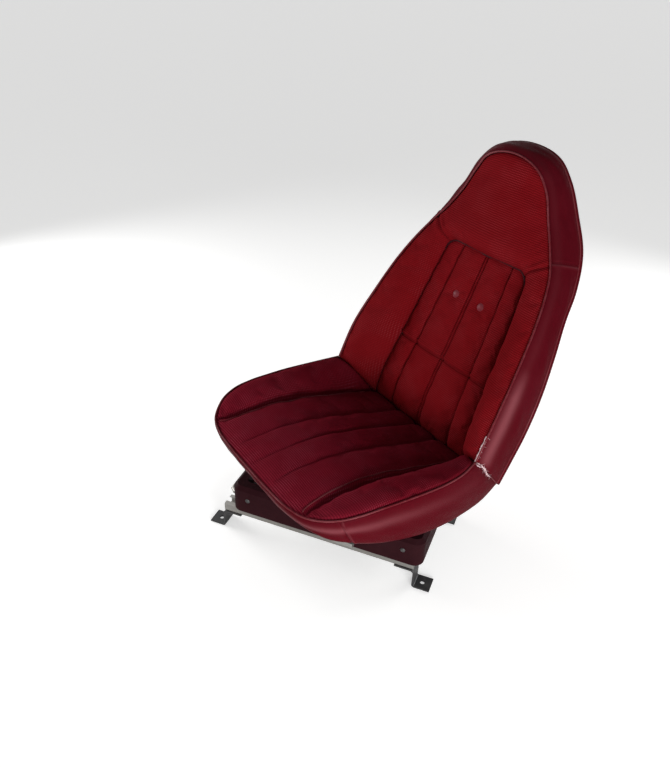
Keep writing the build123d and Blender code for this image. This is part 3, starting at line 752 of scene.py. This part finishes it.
def middle_grid(seam, front, crease, ends, columns=112):
    """Pleated middle of the cushion. It lies between the two seams, arches towards the front, and
    near the front its rows bend to the line of the front welt and its pleats fade out."""
    q = np.linspace(1, -1, columns)[None, :]
    t = np.linspace(0, 1, len(seam))[:, None]
    half = seam[:, None, 0]
    front_x, front_y, front_z = both_sides(front)[::-1].T
    bend = np.clip((t - 0.60) / 0.40, 0, 1) ** 1.6
    x = q * half
    y = seam[:, None, 1] + bend * (np.interp(q, front_x / front_x.max(), front_y) - seam[-1, 1])
    z = seam[:, None, 2] + bend * (np.interp(q, front_x / front_x.max(), front_z) - seam[-1, 2])
    swell = np.clip(t / 0.75, 0, 1) ** 1.5 * np.sqrt(1 - np.clip((t - 0.80) / 0.20, 0, 1) ** 2)
    z += 0.004 * swell * (1 - q ** 2)
    fade = (1 - 0.75 * np.clip((t - 0.45) / 0.35, 0, 1)) * np.clip((1 - t) / 0.1, 0, 1)
    lines = (-1.0, *pleat_seams, 1.0)
    for low, high in zip(lines, lines[1:]):
        inside = (q >= low) & (q <= high)
        z += pleat_height * fade * pleat(np.clip((q - low) / (high - low), 0, 1)) * inside
    seam_gap = np.abs(q[..., None] - np.array(pleat_seams)).min(axis=-1) * half
    edge_gap = (1 - np.abs(q)) * half
    z -= 0.0022 * fade * ridge(seam_gap, 0.0025) + crease * ridge(edge_gap, inner_crease_width)
    z -= dip_depth * ridge((1 - t) * cushion_length, dip_width) + 0.005 * fall(t * cushion_length, 0.025)
    z += unevenness * ripple(x, y, 0.07, 8) * np.sin(math.pi * t)
    sewn = highest(fade * ridge(seam_gap, 0.004), ridge(edge_gap, 0.010), ends)
    # Painted shade: the mark darkens the pleat seams and the creases beside the bolsters
    mark = highest(0.40 * fade * ridge(seam_gap, 0.0024), 0.55 * ridge(edge_gap, 0.0035))
    return np.stack([x, y, z], -1), sewn, mark


def flanked(side, middle, flip=1):
    """Columns of the left side from the welt inwards, of the middle, and of the left side's mirror
    image, whose values are times the flip."""
    return np.concatenate([side[:, :0:-1], middle, side[:, 1:] * flip], axis=1)


def cushion_cloth_grid(rows=150):
    """Cloth of the whole cushion as one grid that runs from the left welt over the left bolster,
    the pleated middle and the right bolster."""
    seam = through(bolster_seam_stations, rows)
    welt = through(cushion_welt_stations, 900)
    corner = np.argmin(np.linalg.norm(welt - seam[-1], axis=1))
    side_welt = even(np.concatenate([welt[:corner], seam[-1:]]), rows)
    front = even(np.concatenate([seam[-1:], welt[corner + 1:]]), 80)
    t = np.linspace(0, 1, rows)[:, None]
    run = lengths_along(seam)[:, None]
    crease = crease_depth * np.clip((1 - run / run[-1]) / 0.16, 0, 1)
    ends = ridge(np.minimum(t, 1 - t) * cushion_length, 0.012)
    side, side_sewn, side_seam_shade = bolster_grid(seam, side_welt, crease, ends)
    middle, middle_sewn, middle_seam_shade = middle_grid(seam, front, crease, ends)
    middle[:, [0, -1], 2] = 0.5 * (side[:, :1, 2] + middle[:, :1, 2])
    grid = flanked(side, middle, (-1, 1, 1))
    uv = np.stack([grid[..., 0], grid[..., 1] - 0.3 * grid[..., 2]], -1)
    return grid, uv, flanked(side_sewn, middle_sewn), flanked(side_seam_shade, middle_seam_shade)


# Cloth simulation

def cloth_sheet(mesh, held):
    """Sheet of cloth held at some of its points, with its simulation."""
    sheet = bpy.data.objects.new("cloth_under_pressure", mesh)
    bpy.context.scene.collection.objects.link(sheet)
    sheet.vertex_groups.new(name="held").add(held.tolist(), 1.0, "REPLACE")
    fill = sheet.modifiers.new("fill", "CLOTH")
    for key, value in cloth_settings.items():
        setattr(fill.settings, key, value)
    fill.settings.effector_weights.gravity = 0
    fill.collision_settings.use_collision = False
    return sheet


def puffed(grid, sewn, outward, cap, stride=3):
    """Grid of cloth filled out by a cloth simulation. Every third row and column make a coarse
    sheet, held where it is sewn and pressed out from behind while its threads are let out by one
    in a hundred. Each point's move is kept below a cap (cap times the hyperbolic tangent of the
    move over the cap), carried to the fine grid along rows and columns, and is nought at a seam."""
    rows, columns = (np.unique(np.append(np.arange(0, count, stride), count - 1)) for count in grid.shape[:2])
    coarse = grid[np.ix_(rows, columns)]
    points = coarse.reshape(-1, 3)
    faces = turned_out(grid_faces(len(rows), len(columns)), points, np.broadcast_to(outward, points.shape))
    corners = points[faces]
    shortest = np.linalg.norm(corners - np.roll(corners, 1, axis=1), axis=2).min(axis=1)
    mesh = bpy.data.meshes.new("cloth_under_pressure")
    mesh.from_pydata(points, [], faces[shortest > shortest_thread])
    sheet = cloth_sheet(mesh, np.flatnonzero(sewn[np.ix_(rows, columns)].ravel() > 0.5))
    scene = bpy.context.scene
    for step in range(1, sim_frames + 1):
        scene.frame_set(step)
    filled = sheet.evaluated_get(bpy.context.evaluated_depsgraph_get()).data
    after = np.empty(len(points) * 3, np.float32)
    filled.vertices.foreach_get("co", after)
    bpy.data.objects.remove(sheet)
    bpy.data.meshes.remove(mesh)
    scene.frame_set(1)
    move = after.reshape(-1, 3) - points
    size = np.maximum(np.linalg.norm(move, axis=1, keepdims=True), 1e-9)
    move = (move / size * cap * np.tanh(size / cap)).reshape(coarse.shape)
    move = spread(move, rows, grid.shape[0])
    move = spread(move.swapaxes(0, 1), columns, grid.shape[1]).swapaxes(0, 1)
    return grid + move * (1 - sewn)[..., None]


# Vinyl bands, rear panel and underside

def band_grid(front, rear, centre, cross_seam, sheen_along, sheen_share, sheen_width, across=36):
    """Boxing band between two seams. Straight rungs join points matched by length, and a rounded
    cross-section (one minus the square of the distance from its middle line, to the power 0.62)
    stands out along the band's normal, which turns straight sideways at the mitre. The cross seam
    has a ridge beside a groove. A painted highlight, standing in for the vinyl's sheen, is a bell
    curve across the band times a broken line along it, with a pale line painted on the cross
    seam's ridge."""
    share = np.linspace(0, 1, across)[None, :]
    rung = (rear - front)[:, None]
    middle = 0.5 * (front + rear)
    normal = unit(np.cross(np.gradient(front, axis=0) + np.gradient(rear, axis=0), rear - front))
    normal = normal * np.sign((normal * (middle - centre)).sum(1))[:, None]
    run = lengths_along(middle)[:, None]
    turn = fall(run, 0.07)
    normal = unit(normal * (1 - turn) + np.array([1.0, 0, 0]) * turn)
    bulge = band_bulge * (1 - (2 * share - 1) ** 2) ** 0.62 * (1 - 0.45 * ridge(run, 0.010))
    bulge += 0.0010 * ripple(run, share * 0.12, 0.07, 21) * np.sin(math.pi * share)
    seam_gap = run - cross_seam
    bulge += seam_ridge * ridge(seam_gap + 0.003, 0.0035) - seam_groove * ridge(seam_gap - 0.002, 0.0022)
    # Painted highlight: a pale strip along the band and a pale line on the cross seam's ridge
    painted_sheen = np.interp(run, *sheen_along) * ridge(share - sheen_share, sheen_width)
    painted_sheen = highest(painted_sheen, 0.40 * ridge(seam_gap + 0.003, 0.0018))
    grid = front[:, None] + share[..., None] * rung + bulge[..., None] * normal[:, None]
    outward = np.broadcast_to(normal[:, None], grid.shape)
    uv = np.stack(np.broadcast_arrays(run, share * np.linalg.norm(rung, axis=2)), -1)
    return both_sides(grid), both_sides(outward), both_sides(uv, 1), both_sides(painted_sheen, 1)


def across_grid(edge, crown, direction, columns=64):
    """Sheet spanned between a half edge and its mirror image: straight rungs across the seat that
    stand out in a direction by a crown times one minus the square of the place across."""
    q = np.linspace(1, -1, columns)[None, :, None]
    flat = np.broadcast_to(edge[:, None], (len(edge), columns, 3)) * np.where([True, False, False], q, 1)
    return flat + (crown[:, None, None] * (1 - q ** 2)) * direction


def shell_grid(edge, crown, direction):
    """Moulded rear panel: a half round rim rolls outwards from the seam and back, at the rim's
    radius times sine outwards and one minus cosine rearwards, and a crowned sheet spans the rims."""
    outward = unit(np.cross(np.gradient(edge, axis=0), direction))
    outward = outward * np.sign(((edge - back_middle) * outward).sum(axis=1))[:, None]
    angle = np.linspace(0, math.pi, 10)[None, :, None]
    rim = (1 - np.cos(angle)) * direction + np.sin(angle) * outward[:, None]
    rolled = edge[:, None] + rim_radius * rim
    rolled[-1, :, 0] = 0
    sheet = across_grid(rolled[:, -1], crown, direction)
    return np.concatenate([rolled[:, :-1], sheet, rolled[:, -2::-1] * (-1, 1, 1)], axis=1)


def tucked(upper, lower, depth, rows=14, columns=160):
    """Cloth tucked into the bight: rows go from the back's lower edge to the cushion's rear edge in
    a straight line plus a sag of the depth times an arch."""
    way = np.linspace(0, 1, rows)[:, None, None]
    sag = depth * np.array([0, 0.35, -0.94])
    return (1 - way) * even(upper, columns) + way * even(lower, columns) + arch(way) * sag


def back_line(stations):
    """Half seam of the back in the seat's own frame."""
    return on_back(*through_half(stations, band_count).T)


back_welt = back_line(back_welt_stations)
rear_welt = back_line(rear_welt_stations)
cushion_welt = through_half(cushion_welt_stations, band_count)

# The hem's points lie a little forward of the welt's, so that the band's cross seam drops upright
hem_share = np.linspace(0, 1, band_count)
cushion_hem = at_shares(through_half(cushion_hem_stations, band_count),
                        hem_share + hem_lead * np.sin(math.pi * hem_share))

# The covers of back and cushion
cloth_grid, cloth_uv, cloth_sewn, cloth_seam_shade = horseshoe()
cloth_grid = puffed(cloth_grid, cloth_sewn, out_of_back, back_cap)
back_cloth = surface("back_cloth", cloth_grid, out_of_back, cloth, cloth_uv, wall=cloth_thickness,
                     mark=cloth_seam_shade)
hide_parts("back_pad")

panel_grid, panel_uv, panel_sewn, panel_seam_shade = back_panel_grid()
panel_grid = puffed(panel_grid, panel_sewn, out_of_back, back_cap)
back_panel = surface("back_pleated_panel", panel_grid, out_of_back, cloth, panel_uv, wall=cloth_thickness,
                     mark=panel_seam_shade)
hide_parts("back_insert")

seat_grid, seat_uv, seat_sewn, seat_seam_shade = cushion_cloth_grid()
seat_grid = puffed(seat_grid, seat_sewn, up, cushion_cap)
cushion_cloth = surface("cushion_cloth", seat_grid, up, shaded_cushion_cloth, seat_uv, wall=cloth_thickness,
                        mark=seat_seam_shade)
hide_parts("cushion_pad", "cushion_insert")

back_foot = np.concatenate([cloth_grid[0, ::-1], panel_grid[0, -2:0:-1], cloth_grid[-1]])
bight_points = tucked(back_foot, seat_grid[0], 0.022)
surface("bight_tuck", bight_points, up, shaded_cushion_cloth, bight_points[..., :2], wall=lining_thickness)

back_points, back_out, band_uv, painted_sheen = band_grid(
    back_welt, rear_welt, back_middle, back_cross_seam, back_sheen, sheen_share=0.20, sheen_width=0.13)
back_band = surface("back_boxing_band", back_points, back_out, vinyl, band_uv, wall=vinyl_thickness,
                    mark=painted_sheen)
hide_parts("back_band")

band_points, band_out, band_uv, painted_sheen = band_grid(
    cushion_welt, cushion_hem, cushion_middle, cushion_cross_seam, cushion_sheen, sheen_share=0.30,
    sheen_width=0.11)
cushion_band = surface("cushion_boxing_band", band_points, band_out, vinyl, band_uv, wall=vinyl_thickness,
                       mark=painted_sheen)
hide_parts("cushion_band")

rear_crown = rear_bulge * np.clip(rear_welt[:, 0] / 0.15, 0, 1) ** 1.3
rear_points = shell_grid(rear_welt, rear_crown, -out_of_back)
rear_shell = surface("rear_shell", rear_points, -out_of_back, vinyl, wall=vinyl_thickness)
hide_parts("back_shell")

hem_crown = 0.010 * np.clip(cushion_hem[:, 0] / 0.1, 0, 1)
underside = across_grid(cushion_hem, hem_crown, up)
surface("cushion_underside", underside, -up, seam_shadow, wall=lining_thickness)

# Pipings along the three welts: name, half line, and direction in which it faces
for label, line, facing in (("back_front_piping", back_welt + 0.0012 * out_of_back, out_of_back),
                            ("back_rear_piping", rear_welt, out_of_back),
                            ("cushion_piping", cushion_welt + 0.0012 * up, up)):
    tube(label, both_sides(line), welt_radius, facing, piping)

# The piping round the pleated panel stands proud along its top, dips at the middle pleat and sinks
# into the seam at its sides
edge = matched_edges(220, 90)[0]
proud = np.clip((edge[:, 1] - corner_low + 0.004) / 0.020, 0, 1)
edge_line = on_back(edge[:, 0], edge[:, 1] - 0.0025 * ridge(edge[:, 0], 0.02),
                    panel_bed(edge[:, 1]) + 0.0008 - 0.0040 * proud)
tube("panel_piping", both_sides(edge_line), both_sides(0.0013 + 0.0014 * proud, 1), out_of_back, dark_piping)

# A thin piping edges the cushion's pleated middle beside each crease, on its fourth column
crease_column = side_columns + 2
for label, column in (("left", crease_column), ("right", -1 - crease_column)):
    line = even(seat_grid[12:-3, column], 260) + 0.0006 * up
    tube("cushion_crease_piping_" + label, line, 0.0014, up, piping, sides=10)

# Where back and cushion meet, the seam's backing is torn: strands wander along the mitre on the
# sitter's left, others break out of the welt above it, and loose ends stand off them
chance = np.random.default_rng(17)
mitre_line = even(0.5 * (back_points[0] + band_points[0])[:33], 120) + np.array([0.0014, 0, 0])
welt_line = even(back_welt[:22], 120) + 0.0020 * out_of_back + np.array([-0.0024, 0, 0])
mitre_sway = np.array([0, 0.75, 0.66])
welt_sway = np.array([-1.0, 0, 0.3])

# The strands: line, first and last point on it, thickness, and how far it swings
torn_strands = [
    (mitre_line, 0, 66, 0.0010, 0.0030), (mitre_line, 4, 60, 0.0009, -0.0034),
    (mitre_line, 56, 78, 0.0004, 0.0009), (welt_line, 0, 44, 0.0012, 0.0008),
    (welt_line, 34, 72, 0.0010, -0.0010), (welt_line, 66, 96, 0.0012, 0.0010),
    (welt_line, 90, 118, 0.0009, 0.0006),
]
way = np.linspace(0, 1, 120)
strands = []
for number, (line, low, high, thick, swing) in enumerate(torn_strands):
    swing = swing * np.sin(math.pi * (3 + number % 3) * way + number)
    swing = swing + 0.0004 * ripple(way, 0.0, 0.060, number)
    thick = 0.0003 + np.abs(thick * (0.75 + 0.35 * ripple(way, 0.0, 0.040, 30 + number)))
    path = line + swing[:, None] * (mitre_sway if line is mitre_line else welt_sway)
    label = "torn_strand_%d" % number
    strands.append(tube(label, path[low:high], thick[low:high], up, backing_thread, sides=8))
joined("torn_backing", strands)
# The open seam is a dark tube, painted shadow in the torn seam's gap beneath the strands
gape = 0.0004 + 0.0024 * np.sin(math.pi * way[2:100]) ** 0.5
row_x = np.array([math.cos(rest_turn), -math.sin(rest_turn), 0])
tube("open_seam", mitre_line[2:100] - np.array([0.0022, 0, 0]), gape, row_x, seam_shadow, sides=10)
tube("mitre_edge", mitre_line[70:118], 0.0011, up, piping, sides=8)

roots = np.concatenate([mitre_line[chance.integers(0, 66, 40)], welt_line[chance.integers(0, 118, 36)]])
lean = unit(chance.normal(size=(len(roots), 3)) + np.array([0.9, -0.2, 0.1]))
drop = unit(chance.normal(size=(len(roots), 3)) + np.array([0.0, 0.0, -0.6]))
length = 0.003 + 0.006 * chance.random((len(roots), 1, 1))
way = np.linspace(0, 1, 6)[None, :, None]
loose_ends = roots[:, None] + length * (way * lean[:, None] + 0.8 * way ** 2 * drop[:, None])
short_cords("frayed_threads", to_row(loose_ends), 0.00028, backing_thread)


def stitched(line, lift, pitch=0.004, knots=20):
    """Paths of stitches along a seam: one each pitch, from the 3rd to the 16th of its twenty knots,
    arched out by half a millimetre."""
    count = int(lengths_along(line)[-1] / pitch)
    steps = np.linspace(3, 16, 5).astype(int)
    places = even(line, count * knots)[np.arange(count)[:, None] * knots + steps]
    return places + 0.0005 * arch(np.linspace(0, 1, 5))[None, :, None] * lift


# Rows of stitches beside the cross seams, on both sides of the seat
rows_of_stitches = []
for points, out, cross_seam in ((back_points, back_out, back_cross_seam),
                                (band_points, band_out, cushion_cross_seam)):
    run = lengths_along(points[:band_count].mean(axis=1))
    row = int(np.searchsorted(run, cross_seam + 0.006))
    for at in (row, len(points) - 1 - row):
        rows_of_stitches.append(stitched(points[at, 1:-1], out[at, 18]))
short_cords("band_stitches", to_row(np.concatenate(rows_of_stitches)), 0.0004, dark_piping, sides=6)

# Screws of the moulded covers
screw_profile = [(0.0, 0.0013), (0.0012, 0.0013), (0.0016, 0.0024), (0.0040, 0.0020), (0.0056, 0.0008),
                 (0.0058, 0.0), (0.0058, -0.0010), (0.0, -0.0010)]
for side, label in ((1, "left"), (-1, "right")):
    places = np.array([(side * 0.1500, y, 0.118) for y in (-0.168, 0.024, 0.214)])
    turned("cover_screws_" + label, screw_profile, places, (side, 0, 0), enamel, "carriage", sides=20)

# Buttons of the back
button_profile = [(0.0, 0.0055), (0.003, 0.0053), (0.0065, 0.0042), (0.0092, 0.0022), (button_radius, 0.0),
                  (0.0098, -0.0022), (0.006, -0.003), (0.0, -0.003)]
button_places = on_back(np.array([-button_half_gap, button_half_gap]), button_along, panel_depth + 0.0015)
buttons = turned("tufting_buttons", button_profile, button_places, out_of_back, button_cloth, "seat")
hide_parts("tuft_buttons")

# Finishes of the CAD nodes, by their slots
hard_finishes = {"bright_steel": zinc, "painted_cover": shaded_cover_plastic}
for subpart in frame["record"]["subparts"]:
    finishes = nodes[subpart["node"]].data.materials
    finishes.clear()
    finishes.append(hard_finishes.get(subpart["material_slot"], enamel))

# Floor and room: both are brighter to the camera than to the seat, and meet at the horizon
backdrop_glow = 0.46
room_light = 0.26

floor_finish, floor_tree, floor_shader = shaded("floor_pale")
floor_shader.inputs["Base Color"].default_value = (0.86, 0.86, 0.85, 1)
floor_shader.inputs["Roughness"].default_value = 0.9
floor_shader.inputs["Emission Color"].default_value = (1, 1, 1, 1)
floor_rays = node(floor_tree, "ShaderNodeLightPath")
floor_tree.links.new(calc(floor_tree, "MULTIPLY", floor_rays.outputs["Is Camera Ray"], backdrop_glow),
                     floor_shader.inputs["Emission Strength"])
bpy.ops.mesh.primitive_plane_add(size=80)
floor = bpy.context.object
floor.name = "floor"
floor.data.materials.append(floor_finish)

world = bpy.data.worlds.new("white_room")
bpy.context.scene.world = world
world.use_nodes = True
sky = world.node_tree
rays = node(sky, "ShaderNodeLightPath").outputs
mirrored = calc(sky, "MAXIMUM", rays["Is Glossy Ray"], rays["Is Transmission Ray"])
seen = calc(sky, "MAXIMUM", rays["Is Camera Ray"], mirrored)
background = sky.nodes["Background"].inputs
background["Color"].default_value = (1, 1, 1, 1)
sky.links.new(calc(sky, "MULTIPLY_ADD", seen, backdrop_glow, room_light), background["Strength"])


def soft_lamp(name, place, width, height, power, target=(0, 0.1, 0.42)):
    """Oblong area lamp at a place, facing the seat."""
    data = bpy.data.lights.new(name, "AREA")
    data.shape = "RECTANGLE"
    data.size, data.size_y = width, height
    data.energy = power
    data.spread = math.radians(140)
    lamp = bpy.data.objects.new(name, data)
    lamp.location = place
    x, y, z = np.subtract(place, target)
    lamp.rotation_euler = (math.atan2(math.hypot(x, y), z), 0, math.atan2(y, x) + math.pi / 2)
    lamp.visible_camera = False
    bpy.context.scene.collection.objects.link(lamp)


# Place in the row frame, width and height, and watts
soft_lamp("key", (1.8, 1.3, 0.5), 1.3, 0.6, 29)
soft_lamp("fill", (-0.3, -2.3, 0.8), 1.4, 0.9, 26)
soft_lamp("rear", (-1.9, 1.5, 0.9), 1.4, 0.9, 13)

# The photograph's camera: its place and the directions of its right and lower edges
camera_place = (1.24357, 0.46019, 1.26187)
camera_right = np.array([-0.37709, 0.92563, 0.03188])
camera_down = np.array([0.49350, 0.22994, -0.83880])
camera_data = bpy.data.cameras.new("photo_camera")
camera_data.lens = 33.27
camera_data.sensor_width = 36
camera = bpy.data.objects.new("photo_camera", camera_data)
camera_back = -np.cross(camera_right, camera_down)
turned_frame = np.stack([camera_right, -camera_down, camera_back, camera_place], -1)
camera.matrix_world = Matrix([*turned_frame, (0, 0, 0, 1)])
bpy.context.scene.collection.objects.link(camera)
bpy.context.scene.camera = camera
bpy.context.scene.view_settings.view_transform = "Standard"

bpy.context.view_layer.update()
